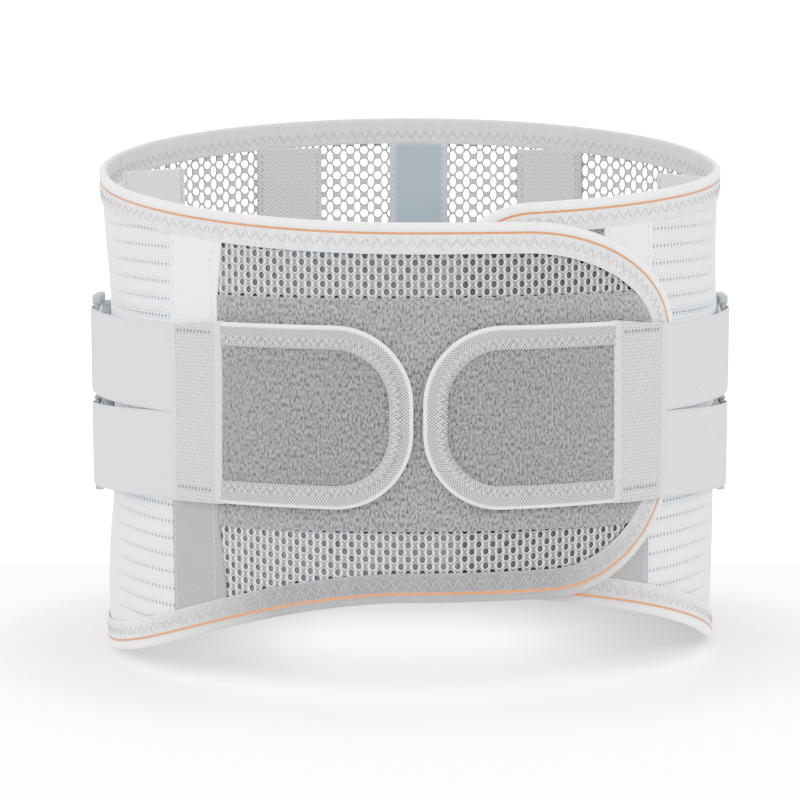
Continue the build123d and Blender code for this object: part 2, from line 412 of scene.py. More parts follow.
back_cells = knit_cells(back_pitch, (back_start, 0.004), (back_ends[1], 0.285), on_back)
for side, cells in (("right", [c for c in back_cells if c[0] < back_middle]),
                    ("left", [c for c in back_cells if c[0] >= back_middle])):
    knit = holed("back_mesh_" + side, BODY, cells, back_shapes, 0.0004, 0.0017)
    fasten(knit, back_knit, "mesh_cloth", "back", ["back_mesh_panel"], (0.2, 0.265))

# Edge tapes: a soft tape folded over every rim and sewn down with a soft grey zigzag. It carries a
# thin orange line outside, is ribbed across, and carries painted shade where it turns under low in front.
FOLD_W, FOLD_OUT, FOLD_IN = 0.015, 0.0035, -0.0010
LINE_AT, RIM_STEP = 0.0101, 0.0013
ORANGE, TAPE = (0.34, 0.092, 0.0), (0.62, 0.62, 0.625)
FOLD, INSIDE = (0.82, 0.82, 0.83), (0.34, 0.34, 0.345)


def length_run(points):
    """Length from the start of a line to each of its points."""
    return np.concatenate([[0], np.cumsum(np.linalg.norm(np.diff(points, axis=0), axis=1))])


def between(at, run, points):
    """Points of a line at other lengths along it."""
    return np.stack([np.interp(at, run, points[:, n]) for n in (0, 1)], 1)


def rim_of(points, inside_left=True):
    """A rim as (points, unit vectors into the cloth, length run)."""
    points = np.asarray(points, float)
    run = length_run(points)
    even = np.linspace(0, run[-1], int(run[-1] / RIM_STEP))
    points = between(even, run, points)
    way = np.gradient(points, axis=0)
    way = np.stack([
        np.convolve(np.pad(way[:, n], 3, mode="edge"), np.ones(7) / 7, "valid") for n in (0, 1)], 1)
    way /= np.linalg.norm(way, axis=1)[:, None]
    into = np.stack([-way[:, 1], way[:, 0]], 1) * (1 if inside_left else -1)
    return points, into, even


def beside(rim, run, inset):
    """Points at these lengths along a rim, set in from it."""
    points, into, even = rim
    return between(run, even, points) + between(run, even, into) * np.asarray(inset)[..., None]


def tube_faces(rings, around, first=0):
    """Faces of a closed tube of rings of points, its ends closed."""
    at = first + np.arange(rings * around).reshape(rings, around)
    after = np.roll(at, -1, 1)
    sides = np.stack([at[:-1], after[:-1], after[1:], at[1:]], -1).reshape(-1, 4)
    return sides.tolist() + [at[0, ::-1].tolist(), at[-1].tolist()]


def turned_out(made):
    """Turns the faces of a closed piece outwards."""
    shell = bmesh.new()
    shell.from_mesh(made.data)
    bmesh.ops.recalc_face_normals(shell, faces=shell.faces)
    shell.to_mesh(made.data)
    shell.free()
    return made


def swept(name, e, rim, section, pucker=None):
    """A closed section of (inset, height) carried along a rim, with its ends closed."""
    points, into, even = rim
    section = np.asarray(section, float)
    flat = np.zeros((len(points), len(section), 3))
    flat[:, :, :2] = points[:, None] + section[None, :, :1] * into[:, None]
    flat[:, :, 2] = section[None, :, 1]
    if pucker is not None:
        flat[:, :, 2] += pucker(even[:, None], section[None, :, 0], section[None, :, 1])
    uv = np.stack(np.broadcast_arrays(even[:, None], length_run(section)[None, :]), -1)
    faces = tube_faces(len(points), len(section))
    return turned_out(piece(name, e, flat.reshape(-1, 3), faces, uv.reshape(-1, 2)))


def folded(width, outer, inner, skin):
    """Section of a tape folded over an edge, from its outer sewn edge round to the inner one."""
    mid, half = (outer + inner) / 2, (outer - inner) / 2
    bend = np.radians([90, 115, 140, 165, 180, 195, 220, 245, 270])
    steps = np.linspace(width - 0.0004, half * 1.6, 6)
    out = [(width, outer - 0.4 * skin)] + [(w, outer) for w in steps]
    out += [(half + half * math.cos(a), mid + half * math.sin(a)) for a in bend]
    out += [(w, inner) for w in steps[::-1]] + [(width, inner + 0.4 * skin)]
    back = [(width, inner + skin), (half * 1.2, inner + skin), (skin, mid), (half * 1.2, outer - skin)]
    return out + back + [(width, outer - skin)]


def tape_pucker(run, inset, height):
    """The zigzag draws the tape in a little at each turn, and the fold swells unevenly."""
    outward = np.sign(height - (FOLD_OUT + FOLD_IN) / 2)
    sewn = np.exp(-(((inset - 0.0098) / 0.0026) ** 2))
    drawn = -0.00016 * sewn * (0.5 + 0.5 * np.cos(2 * np.pi * run / 0.0054))
    swell = 0.00018 * np.sin(run * 310) * np.sin(run * 83 + 1) * np.exp(-((inset / 0.005) ** 2))
    return (drawn + swell) * outward


def thread(name, e, lines, radius, paint, body, turns=False):
    """Sewing thread: each line of (s, z, k) points becomes a thin tube of five sides."""
    points, faces, first = [], [], 0
    spokes = oval(radius, radius, 5)
    for line in lines:
        line = np.asarray(line, float)
        way = np.gradient(line, axis=0)
        level = np.stack([-way[:, 1], way[:, 0], np.zeros(len(line))], 1)
        level /= np.linalg.norm(level, axis=1)[:, None] + 1e-12
        up = np.cross(way / np.linalg.norm(way, axis=1)[:, None], level)
        ring = line[:, None] + spokes[:, :1] * level[:, None] + spokes[:, 1:] * up[:, None]
        points.append(ring.reshape(-1, 3))
        faces += tube_faces(len(line), 5, first)
        first += len(line) * 5
    made = piece(name, e, np.concatenate(points), faces)
    return fasten(made, paint, "edge_tape", body, turns=turns)


def zigzag(rim, low, high, k, period=0.0054):
    """One zigzag line of thread between two insets along a whole rim, dipping in at each turn."""
    length = rim[2][-1]
    turns = int(length / (period / 2))
    run = (np.arange(turns * 4) / 4 + 0.5) * period / 2
    run = run[run < length]
    swing = 1 - np.abs((run / (period / 2)) % 2 - 1)
    at = beside(rim, run, low + (high - low) * swing)
    dip = 0.00022 * (np.abs(swing - 0.5) > 0.45)
    return np.column_stack([at, k - dip * np.sign(k)])


def running(rim, inset, k, stitch=0.0026, gap=0.0012):
    """Running stitches: short arcs of thread that dive into the cloth at both ends."""
    lines = []
    for at in np.arange(0.001, rim[2][-1] - stitch, stitch + gap):
        run = at + stitch * np.array([0, 0.15, 0.5, 0.85, 1.0])
        dive = np.array([-0.0004, 0, 0.00012, 0, -0.0004]) * (1 if k >= 0 else -1)
        lines.append(np.column_stack([beside(rim, run, inset), k + dive]))
    return lines


def striped(tree):
    """The tape's orange line, its ribs across, the sewn part's coarser weave, and painted shade low in
    front.
    """
    along, across = cloth_xy(tree)
    line = abs(across - LINE_AT).ramp(0.00060, 0.00085, 1.0, 0.0)
    sewn = across.ramp(0.0088, 0.0094, 1.0, 0.25)
    height = (along.wave(0.0011) * 0.5 + 0.5) * sewn
    grain = noise(tree, cloth_place(tree), 750.0, 2.0)
    mottle = (grain - 0.5) * sewn * 1.5 + 1.0
    plain = mix(tree, across.ramp(0.0112, 0.0125, 0.0, 1.0), TAPE, FOLD)
    plain = mix(tree, across.ramp(0.0160, 0.0185, 0.0, 1.0), plain, INSIDE)
    spot = node(tree, "SeparateXYZ", (node(tree, "TexCoord")["Object"],))
    # Painted shade: darker low down towards the front, where the tape turns under; the orange line is kept
    # out of it.
    forward = spot["Y"].ramp(-0.112, -0.060, 1.0, 0.0)
    painted_shade_under = spot["Z"].ramp(0.07, 0.18, 1.0, 0.0)
    selvedge = across.ramp(0.0006, 0.0012, 1.25, 1.0)
    shade = mottle * (height * -0.10 + 1.0) * (forward * painted_shade_under * -0.82 + 1.0) * selvedge
    return height + grain, shade.maths("MAXIMUM", line), mix(tree, line, plain, ORANGE)


def thread_paint(name, colour):
    return cloth(name, colour, (2500, 2500, 0.0, 0.9), relief=0.00003)


edge_paint = cloth("edge tape", TAPE, (1000, 1400, 0.0, 0.9), relief=0.00014, extra=striped)
pale_thread = thread_paint("pale thread", (0.44, 0.44, 0.45))
soft_grey_thread = thread_paint("soft grey thread", (0.20, 0.20, 0.21))
grey_thread = thread_paint("grey thread", (0.09, 0.09, 0.10))
fold_section = folded(FOLD_W, FOLD_OUT, FOLD_IN, 0.0008)
flap_rear = s_at_y(FLAP, SEAM_Y, -1)


def corner(e, centre, semi, start, end):
    """Rounded corner seen from the front, as (s, z) points."""
    turn = np.radians(np.linspace(start, end, 24))
    x, z = centre[0] + semi[0] * np.cos(turn), centre[1] + semi[1] * np.sin(turn)
    return np.stack([s_at_x(e, x), z], 1)


def left_rim():
    """Round the left wing: low rim forwards, rounded end of the flap, top rim back."""
    end_low, end_high = 0.047, 0.23364
    low = np.linspace(flap_rear, s_at_x(FLAP, 0.070), 120)[:-1]
    x, y = xy_at(FLAP, low)
    lift = end_low * np.where(x > FLAP[0], 1, np.clip(-y / FLAP[2], 0, 1) ** 2.4)
    top = np.linspace(s_at_x(FLAP, 0.055), flap_rear, 120)[1:]
    x, y = xy_at(FLAP, top)
    z = np.where(x > FLAP[0], end_high, top_rim(y * np.where(y < 0, 0.127 / FLAP[2], 1)))
    return rim_of(np.concatenate([
        np.stack([low, lift], 1), corner(FLAP, (0.070, 0.113), (0.0605, 0.066), -90, 0),
        corner(FLAP, (0.055, 0.178), (0.0755, 0.05564), 0, 90), np.stack([top, z], 1)]))


def right_rim():
    """Round the right wing, whose rounded end is hidden under the left one."""
    low = np.linspace(back_ends[0], s_at_x(BODY, 0.060), 90)[:-1]
    y = xy_at(BODY, low)[1]
    forward = -0.012 - y
    lift = 0.46 * (forward + np.hypot(forward, 0.008)) / 2
    top = np.linspace(s_at_x(BODY, 0.060), back_ends[0], 90)[1:]
    y = xy_at(BODY, top)[1]
    z = np.where(y > 0.010, top_rim(y), 0.257 + 0.13 * y)
    return rim_of(np.concatenate([
        np.stack([low, lift], 1), corner(BODY, (0.060, 0.092), (0.045, 0.0465), 270, 180),
        corner(BODY, (0.060, 0.200), (0.045, 0.0426), 180, 90), np.stack([top, z], 1)]), False)


back_s = np.linspace(back_ends[0], back_ends[1], 200)
rims = {
    "left_edge_tape": (FLAP, left_rim(), "left_wing"),
    "right_edge_tape": (BODY, right_rim(), "right_wing"),
    "back_bottom_edge_tape": (BODY, rim_of(np.stack([back_s, 0 * back_s], 1)), "back"),
    "back_top_edge_tape": (
        BODY, rim_of(np.stack([back_s, top_rim(xy_at(BODY, back_s)[1])], 1), False), "back"),
}
for name, (e, rim, body) in rims.items():
    turns = body != "back"
    tape = swept(name + "_cloth", e, rim, fold_section, tape_pucker)
    fasten(tape, edge_paint, "edge_tape", body, [name], (rim[2][-1], 0.034), turns=turns)
    for place, low, high, k in (("", 0.0075, 0.0118, 0.00355), ("_inside", 0.0070, 0.0122, -0.00105)):
        sewn = [zigzag(rim, low, high, k)]
        thread(name + "_zigzag" + place, e, sewn, 0.00023, soft_grey_thread, body, turns)

# Stay pockets: strips of tape sewn up the inside, each holding a flat stay. On the back the middle
# one is blue-grey between pale margins, the next two are grey twill and the outer two pale; the two
# in front lie behind the seam tapes.
STRIP_K, STRIP_CROWN, STRIP_END = (-0.0002, -0.0013), -0.0009, 0.0148


def upright(s, z0, z1):
    return rim_of([(s, z0), (s, z1)])


def strip(name, e, s0, s1, z0, z1, k0, k1, crown):
    """Upright strip of tape with rounded edges, crowned outwards between them."""
    rim = upright((s0 + s1) / 2, z0, z1)
    half = (s1 - s0) / 2
    edge = 0.25 * (k1 - k0)
    wide = np.linspace(-half, half, 11)
    top = [(w, k1 + crown * (1 - (w / half) ** 4) - (edge if abs(w) > half * 0.99 else 0)) for w in wide]
    return swept(name, e, rim, top + [(half, k0), (0, k0), (-half, k0)]), rim, half


def margined(tree):
    """Pale margins either side of the coloured middle, ribbed."""
    across = cloth_xy(tree)[1]
    pale = abs(across - 0.0172).ramp(0.0128, 0.0134, 0.0, 1.0)
    return across, 1.0, mix(tree, pale, (0.120, 0.162, 0.200), (0.24, 0.26, 0.285))


twill_grey = cloth("grey twill", (0.36, 0.36, 0.372), (460, 300, 1.0, 0.40), relief=0.0002)
ribbed_pale = cloth("pale ribbed tape", (0.44, 0.445, 0.465), (0, 900, 1.0, 0.80), relief=0.00012)
centre_blue = cloth("blue-grey tape", (0.125, 0.17, 0.208), (900, 900, 0.0, 0.85), extra=margined)
strips = {
    "centre": (-0.017, 0.017, centre_blue), "left_inner": (-0.093, -0.056, twill_grey),
    "right_inner": (0.057, 0.093, twill_grey), "left_outer": (-0.1615, -0.132, ribbed_pale),
    "right_outer": (0.133, 0.154, ribbed_pale),
}
for name, (x0, x1, paint) in strips.items():
    s1, s0 = (s_at_x(BODY, x + 0.005, back=True) for x in (x0, x1))
    top = top_rim(xy_at(BODY, (s0 + s1) / 2)[1]) - STRIP_END
    made, rim, half = strip(name + "_pocket_cloth", BODY, s0, s1, STRIP_END, top, *STRIP_K, STRIP_CROWN)
    fasten(made, paint, "centre_pocket_cloth" if name == "centre" else "pocket_cloth", "back",
           [name + "_stay_pocket"], (2 * half, top - STRIP_END))
    stitches = running(rim, half - 0.0031, -0.00175) + running(rim, 0.0031 - half, -0.00175)
    thread(name + "_pocket_stitching", BODY, stitches, 0.00022, grey_thread, "back")


# Side elastics: bluish white elastic with rows of pin holes and fine ribs level between them. They
# run from the seam tapes in front to the back panel.
def limits(rim, inset):
    """Lowest and highest height against length, inside a wing's rim by an inset."""
    at = beside(rim, rim[2], inset)
    tip = int(np.argmax(np.abs(at[:, 0] - at[0, 0])))
    branches = [part[np.argsort(part[:, 0])] for part in (at[:tip + 1], at[tip:])]
    return [lambda s, b=b: np.interp(s, b[:, 0], b[:, 1]) for b in branches]


def ribs_level(tree):
    """Fine ribs level between the rows of holes, and painted shade on the hole walls."""
    rib = cloth_xy(tree)[1].wave(pin_pitch[1] / 5) * 0.5 + 0.5
    return rib, (rib * 0.08 + 0.92) * hole_rim(tree).ramp(0.72, 0.97, 1.0, 0.22)


LEFT_RIM, RIGHT_RIM = rims["left_edge_tape"][1], rims["right_edge_tape"][1]
CLOTH_K = (0.0003, 0.0022)
pin_pitch = (0.0027, 0.0087)
corner_signs = np.array([(1, 0), (1, 1), (0, 1), (-1, 1), (-1, 0), (-1, -1), (0, -1), (1, -1)])
pin_shapes = [(corner_signs * np.array(pin_pitch) / 2, oval(0.00055, 0.00042, 8))]
side_elastic = cloth(
    "side elastic", (0.63, 0.695, 0.765), (1100, 2300, 0.0, 0.92), relief=0.00012, extra=ribs_level)
WINGS = {
    "left": (FLAP, LEFT_RIM, -0.1165, -0.118, -0.0935),
    "right": (BODY, RIGHT_RIM, 0.1175, 0.0945, 0.119),
}
for name, (e, rim, seam_x, *_) in WINGS.items():
    body = name + "_wing"
    low, high = limits(rim, 0.006)
    ends = sorted((s_at_x(e, seam_x), rim[0][0, 0]))
    columns = ends[0] + (np.arange(int((ends[1] - ends[0]) / pin_pitch[0])) + 0.5) * pin_pitch[0]
    cells = [(s, z, 0) for s in columns for z in 0.010 + pin_pitch[1] * np.arange(30)
             if low(s) < z - pin_pitch[1] / 2 and z + pin_pitch[1] / 2 < high(s)]
    made = holed(name + "_side_elastic_cloth", e, cells, pin_shapes, *CLOTH_K)
    fasten(made, side_elastic, "perforated_elastic", body, [name + "_side_elastic"],
           (ends[1] - ends[0], 0.25), turns=True)

# Side joins: a narrow ribbed tape over the seam where each wing is sewn to the back panel.
join_tape = cloth("join tape", (0.55, 0.57, 0.60), (700, 1100, 0.0, 0.85), relief=0.00015)
for name, s in (("left", back_ends[1]), ("right", back_ends[0])):
    made, rim, half = strip(
        name + "_side_join_tape", BODY, s - 0.0065, s + 0.0065, 0.011, 0.2488, -0.0007, 0.0028, 0.0002)
    fasten(made, join_tape, "seam_tape", "back", flat=(0.013, 0.238))
    stitches = running(rim, 0.0045, 0.00285) + running(rim, -0.0045, 0.00285)
    thread(name + "_side_join_stitching", BODY, stitches, 0.0002, pale_thread, "back")

# Seam tapes: a white ribbed tape over the seam between each side elastic and its flap, with the
# front stay's pocket behind it. The left one spreads a little towards the rims.
SOFT_EDGE = 0.0007


def panel(name, e, s0, s1, low, high, k0, k1, soft=0.0003, lean=None, swell=None, step=0.004):
    """Piece of cloth between two lengths and two limits of height, softened along its edges."""
    wide = np.linspace(s0 + SOFT_EDGE, s1 - SOFT_EDGE, max(4, int(abs(s1 - s0) / step)))
    s = np.concatenate([[s0], wide, [s1]])
    z0, z1 = (np.broadcast_to(f(s) if callable(f) else f, s.shape) for f in (low, high))
    n = max(4, int(np.max(z1 - z0) / step)) + 2
    z = z0[:, None] + (z1 - z0)[:, None] * np.linspace(0, 1, n)
    z[:, 1], z[:, -2] = z[:, 0] + SOFT_EDGE, z[:, -1] - SOFT_EDGE
    s = np.broadcast_to(s[:, None], z.shape).copy()
    if lean:
        s += lean(z) * ((s - s0) / (s1 - s0))
    edge = np.ones(z.shape)
    edge[1:-1, 1:-1] = 0
    front, back = (k1(s, z) if callable(k1) else k1) - soft * edge, np.full(z.shape, k0)
    if swell:
        front = front + swell(s, z)
    flat = np.concatenate([np.stack([s, z, k], -1).reshape(-1, 3) for k in (front, back)])
    at, layer = np.arange(z.size).reshape(z.shape), z.size
    outer = np.stack([at[:-1, :-1], at[1:, :-1], at[1:, 1:], at[:-1, 1:]], -1).reshape(-1, 4)
    loop = np.concatenate([at[:-1, 0], at[-1, :-1], at[:0:-1, -1], at[0, :0:-1]])
    after = np.roll(loop, -1)
    border = np.stack([loop, loop + layer, after + layer, after], -1)
    return piece(name, e, flat, np.concatenate([outer, outer[:, ::-1] + layer, border]))


def low_painted_shade(tree):
    """Painted shade: the tape darkens towards its lower length, where it lies in a hollow."""
    up = cloth_xy(tree)[1]
    return up, up.ramp(0.085, 0.19, 0.17, 1.0)


# The seam tape carries painted shade on its lower length.
seam_white = cloth("seam tape", (0.91, 0.915, 0.93), (0, 900, 1.0, 0.55), relief=0.00018, extra=low_painted_shade)
SEAM_K = (0.0020, 0.0031)
for name, (e, rim, _, x0, x1) in WINGS.items():
    body = name + "_wing"
    s0, s1 = s_at_x(e, x0), s_at_x(e, x1)
    low, high = limits(rim, 0.0145)
    spread = None
    if name == "left":
        spread = lambda z: 0.0034 * np.clip((np.abs(z - 0.138) - 0.058) / 0.034, 0, 1)
    made = panel(name + "_seam_tape_cloth", e, s0, s1, low, high, *SEAM_K, lean=spread)
    fasten(made, seam_white, "seam_tape", body, [name + "_seam_tape"], (s1 - s0, 0.2))
    stitches = []
    for s in (s0 + 0.0022, s1 - 0.0030):
        for z0, z1 in ((low(s), 0.094), (0.184, high(s))) if name == "left" else ((low(s), high(s)),):
            stitches += running(upright(s, z0 + 0.001, z1 - 0.001), 0, SEAM_K[1] + 0.00015)
    thread(name + "_seam_stitching", e, stitches, 0.0002, pale_thread, body)
    pocket = panel(name + "_front_pocket_cloth", e, s0 + 0.001, s1 - 0.001, low, high, -0.0022, -0.0002)
    fasten(pocket, ribbed_pale, "pocket_cloth", body, [name + "_front_stay_pocket"], (s1 - s0, 0.2))

# Outer flap: a spacer knit with oval holes and wavy upright threads between them, white where it
# starts and greyer where it lies over the inner flap. A thin lining backs it, grey and then darker; its
# darkness is partly painted shade seen through the holes.
flap_pitch = (0.0069, 0.0071)
flap_start = (s_at_x(FLAP, -0.0965), 0.0439)


def wavy_threads(tree):
    """Upright threads that bulge round the holes of their own column, and one round each hole."""
    along, up = cloth_xy(tree)
    half = flap_pitch[0] / 2
    column = (along - flap_start[0]) / half
    whole = column.maths("ROUND")
    rise = (up - flap_start[1]) * (2 * math.pi / flap_pitch[1])
    swing = (whole * math.pi + rise).maths("COSINE")
    near, far, wide = 0.00255, 0.00118, 0.00046
    miss = abs(abs(column - whole) * half - (swing * ((near - far) / 2) + (near + far) / 2)) / wide
    ring = hole_rim(tree).ramp(0.50, 0.75, 0.0, 1.0)
    threads = ring.maths("MAXIMUM", 1.0 - miss.maths("MINIMUM", 1.0))
    greyer = along.ramp(-0.035, 0.055, 0.0, 1.0)
    return threads, threads * 0.86 + 0.15, mix(tree, greyer, (0.56, 0.585, 0.625), (0.44, 0.43, 0.42))


flap_knit = cloth("flap knit", (0.6, 0.6, 0.6), (1800, 1800, 0.0, 0.9), relief=0.00012, extra=wavy_threads)
flap_hole, flap_tip = (0.00156, 0.00190), 0.0027
flap_shapes = knit_shapes(flap_pitch, (flap_hole, flap_hole), (flap_tip, flap_tip))
low, high = limits(LEFT_RIM, 0.007)
flap_s1 = s_at_x(FLAP, 0.1245)


def on_flap(s, z):
    return s < flap_s1 and low(s) < z < high(s) and not 0.088 < z < 0.189


cells = knit_cells(flap_pitch, flap_start, (flap_s1, 0.24), on_flap)
for part, chosen in (("lower", [c for c in cells if c[1] < 0.13]),
                     ("upper", [c for c in cells if c[1] > 0.13])):
    made = holed("outer_flap_mesh_" + part, FLAP, chosen, flap_shapes, 0.0007, CLOTH_K[1])
    fasten(made, flap_knit, "mesh_cloth", "left_wing", ["left_outer_flap_mesh"], (0.236, 0.055))
plain_threads = (1500, 1300, 0.5, 0.75)
lining_split = s_at_x(FLAP, 0.024)
low, high = limits(LEFT_RIM, 0.010)
# Painted shade: the lining's dark greys stand in for the shade inside the flap seen through its holes; the
# darker part lies over the loop panel.
for kind, colour, uneven, s0, s1, tall in (
        ("", (0.075, 0.08, 0.085), 0.9, s_at_x(FLAP, -0.097), lining_split, 0.18),
        ("dark_", (0.046, 0.045, 0.044), 0.4, lining_split, flap_s1, 0.165)):
    painted_shade_lining = cloth(kind + "lining knit", colour, plain_threads, uneven=uneven)
    made = panel(f"outer_flap_{kind}lining", FLAP, s0, s1, low, high, 0.0, 0.0005, soft=0.0)
    fasten(made, painted_shade_lining, "mesh_cloth", "left_wing", ["left_outer_flap_mesh"], (s1 - s0, tall))

# Front patch: brushed grey felt with a loop face, sewn across the flap for the tabs to grip. A
# smaller hook patch is sewn inside the flap, to fasten it to the inner flap.
def brushed(tree):
    """Short upright fibres, mottled light and dark."""
    spot = cloth_place(tree)
    streaks = node(tree, "Mapping", {"Vector": spot, "Scale": (950.0, 480.0, 1.0)})[0]
    mottle = noise(tree, streaks, 1.0, 3.0, 0.65)
    drift = (noise(tree, spot, 190.0, 2.0) - 0.5) * 0.30 + 1.0
    return mottle * 2.0, mottle.ramp(0.38, 0.62, 0.25, 1.85) * drift


def hooked(tree):
    """Rows of tiny hooks."""
    across, up = (part.wave(0.0016) for part in cloth_xy(tree))
    nub = (across * up).maths("MAXIMUM", 0.0)
    return nub * 2.0, nub * 0.7 + 0.65


def felt(name, colour):
    return cloth(name, colour, (900, 900, 0.0, 0.95), relief=0.00022, sheen=0.25, extra=brushed)


patch_felt = felt("patch felt", (0.080, 0.084, 0.083))
hook_paint = cloth("hook tape", (0.30, 0.30, 0.31), (1500, 1500, 0.0, 0.95), relief=0.0003, extra=hooked)
PATCH_K, PATCH_INSET = (0.0021, 0.0038), 0.0152
low, high = limits(LEFT_RIM, PATCH_INSET)
s0, s1 = s_at_x(FLAP, -0.0932), beside(LEFT_RIM, LEFT_RIM[2], PATCH_INSET)[:, 0].max()


def patch_low(s):
    return np.maximum(0.0815 + 0.0012 * np.cos(s * 14), low(s)) + 0.0004 * np.sin(s * 23 + 1)


def patch_high(s):
    return np.minimum(0.1972, high(s)) + 0.0005 * np.sin(s * 19)


made = panel("front_loop_patch_felt", FLAP, s0, s1, patch_low, patch_high, *PATCH_K, soft=0.0004)
fasten(made, patch_felt, "grey_felt", "left_wing", ["front_loop_patch"], (s1 - s0, 0.117))
s0, s1 = s_at_x(FLAP, 0.040), s_at_x(FLAP, 0.115)
made = panel("flap_hook_patch_cloth", FLAP, s0, s1, 0.0835, 0.1935, -0.0014, -0.0001)
fasten(made, hook_paint, "hook_cloth", "left_wing", ["flap_hook_patch"], (s1 - s0, 0.11))

# Inner flap: plain knit under the outer flap, faced with a grey loop panel that its hooks grip.
# Both end in a round inside the right wing's edge tape.
plain_knit = cloth("plain knit", (0.46, 0.47, 0.49), plain_threads, uneven=0.25)
loop_panel = cloth("loop panel", (0.045, 0.045, 0.047), (1200, 1200, 0.0, 0.9), relief=0.0002, extra=brushed)
for name, paint, slot, cad, inset, end_x, ks, soft, tall in (
        ("right_inner_flap_cloth", plain_knit, "mesh_cloth", "right_inner_flap_mesh",
         0.006, 0.1182, CLOTH_K, 0, 0.195),
        ("inner_flap_loop_cloth", loop_panel, "grey_felt", "inner_flap_loop_panel",
         0.0155, 0.0938, (0.0021, 0.0030), 0.0003, 0.165)):
    low, high = limits(RIGHT_RIM, inset)
    s0, s1 = beside(RIGHT_RIM, RIGHT_RIM[2], inset)[:, 0].min(), s_at_x(BODY, end_x)
    made = panel(name, BODY, s0, s1, low, high, *ks, soft=soft)
    fasten(made, paint, slot, "right_wing", [cad], (s1 - s0, tall))

# Tabs: thick grey felt with a hook layer behind it, bound with a dotted elastic edging that turns
# over the edge as a smooth bead and is sewn with a zigzag.
TAB_K = (0.0002, 0.0021)
tab_felt = felt("tab felt", (0.062, 0.065, 0.064))


def dotted(tree):
    """Elastic edging: staggered dark pin dots on its flat part, a smooth bead at the fold."""
    along, across = cloth_xy(tree)
    ribs = along.wave(0.00160)
    flat_part = across.ramp(0.0094, 0.0104, 1.0, 0.0)
    dots = (ribs * across.wave(0.00200)).ramp(-0.10, 0.25, 0.0, 1.0) * flat_part
    shade = (dots * -0.88 + 1.0) * (ribs * 0.04 + 0.96)
    return 1.0 - dots, shade, mix(tree, flat_part, (0.66, 0.66, 0.67), (0.345, 0.345, 0.355))


def tab_rim(e, side, near, far):
    """Round a tab from the web along its lower side, round its end and back along the top."""
    low, high, reach = 0.094, 0.184, 0.038
    spin = 1 if side < 0 else -1
    points = [(near, low)]
    for start, cz in ((-90, low + reach), (0, high - reach)):
        for a in np.radians(np.linspace(start, start + 90, 30)):
            points.append((far + side * reach + spin * reach * math.cos(a), cz + reach * math.sin(a)))
    points = np.array(points + [(near, high)])
    return rim_of(np.stack([s_at_x(e, points[:, 0]), points[:, 1]], 1), side < 0)


def bead_pucker(run, inset, height):
    """The tab's zigzag draws its edging in at each turn."""
    sewn = np.exp(-(((inset - 0.008) / 0.0022) ** 2))
    return -0.00014 * sewn * (0.5 + 0.5 * np.cos(2 * np.pi * run / 0.0046)) * np.sign(height - 0.001)


bead_section = folded(0.0115, 0.0029, -0.0006, 0.0007)
edging = cloth("elastic edging", (0.6, 0.6, 0.6), (1500, 1500, 0.0, 0.95), relief=0.00016, extra=dotted)
TABS = {
    "left": ((0.0025, 0.17195, 0.1295), -1, -0.0935, 0.0015, (-0.1185, -0.0915)),
    "right": ((0.0080, 0.16145, 0.1295), 1, 0.1015, 0.0065, (0.0995, 0.1275)),
}
for name, (e, side, near, far, web) in TABS.items():
    rim = tab_rim(e, side, near, far)
    body = name + "_tab"
    made = swept(name + "_tab_edging", e, rim, bead_section, bead_pucker)
    fasten(made, edging, "edge_tape", body, [name + "_tab_edge_tape"], (rim[2][-1], 0.027))
    for label, low_w, high_w, shift, paint in (
            ("pale", 0.0060, 0.0103, 0.0, pale_thread), ("grey", 0.0066, 0.0097, 0.0019, grey_thread)):
        line = zigzag(rim, low_w, high_w, 0.00295, 0.0038) + (shift, 0, 0)
        thread(f"{name}_tab_zigzag_{label}", e, [line], 0.00019, paint, body)
    low, high = limits(rim, 0.0105)
    inner = beside(rim, rim[2], 0.0105)[:, 0]
    s0, s1 = sorted((s_at_x(e, near), inner.max() if side < 0 else inner.min()))
    made = panel(name + "_tab_felt_pad", e, s0, s1, low, high, *TAB_K, soft=0.0002,
                 swell=lambda s, z: 0.00015 * np.sin(s * 130) * np.sin(z * 90))
    fasten(made, tab_felt, "tab_felt", body, [name + "_tab_felt"], (s1 - s0, 0.069))
    made = panel(name + "_tab_hooks", e, s0, s1, low, high, -0.0005, 0.0001)
    fasten(made, hook_paint, "hook_cloth", body, [name + "_tab_hook_layer"], (s1 - s0, 0.069))

# Webs: a folded piece of twill webbing that joins each tab to its two straps, box-stitched round
# with a row of bar ticks at the top and bottom.
def boxed(first, last):
    """Slanting twill lines of dark dots between two plain folded margins, each with its seam."""
    middle, half = (first + last) / 2, (last - first) / 2

    def add(tree):
        along, up = cloth_xy(tree)
        lines = (up * 0.28 + along).wave(0.00165)
        dots = (up.wave(0.00175) * 0.45 + lines).ramp(0.25, 1.0, 0.0, 1.0)
        off = abs(along - middle)
        inside = off.ramp(half - 0.0046, half - 0.0038, 1.0, 0.0)
        seam = abs(off - (half - 0.0041)).ramp(0.0002, 0.0007, 0.72, 1.0)
        shade = (dots * (inside * -0.55 - 0.10) + 1.0) * seam * (inside * -0.14 + 1.14)
        return 1.0 - dots, shade
    return add


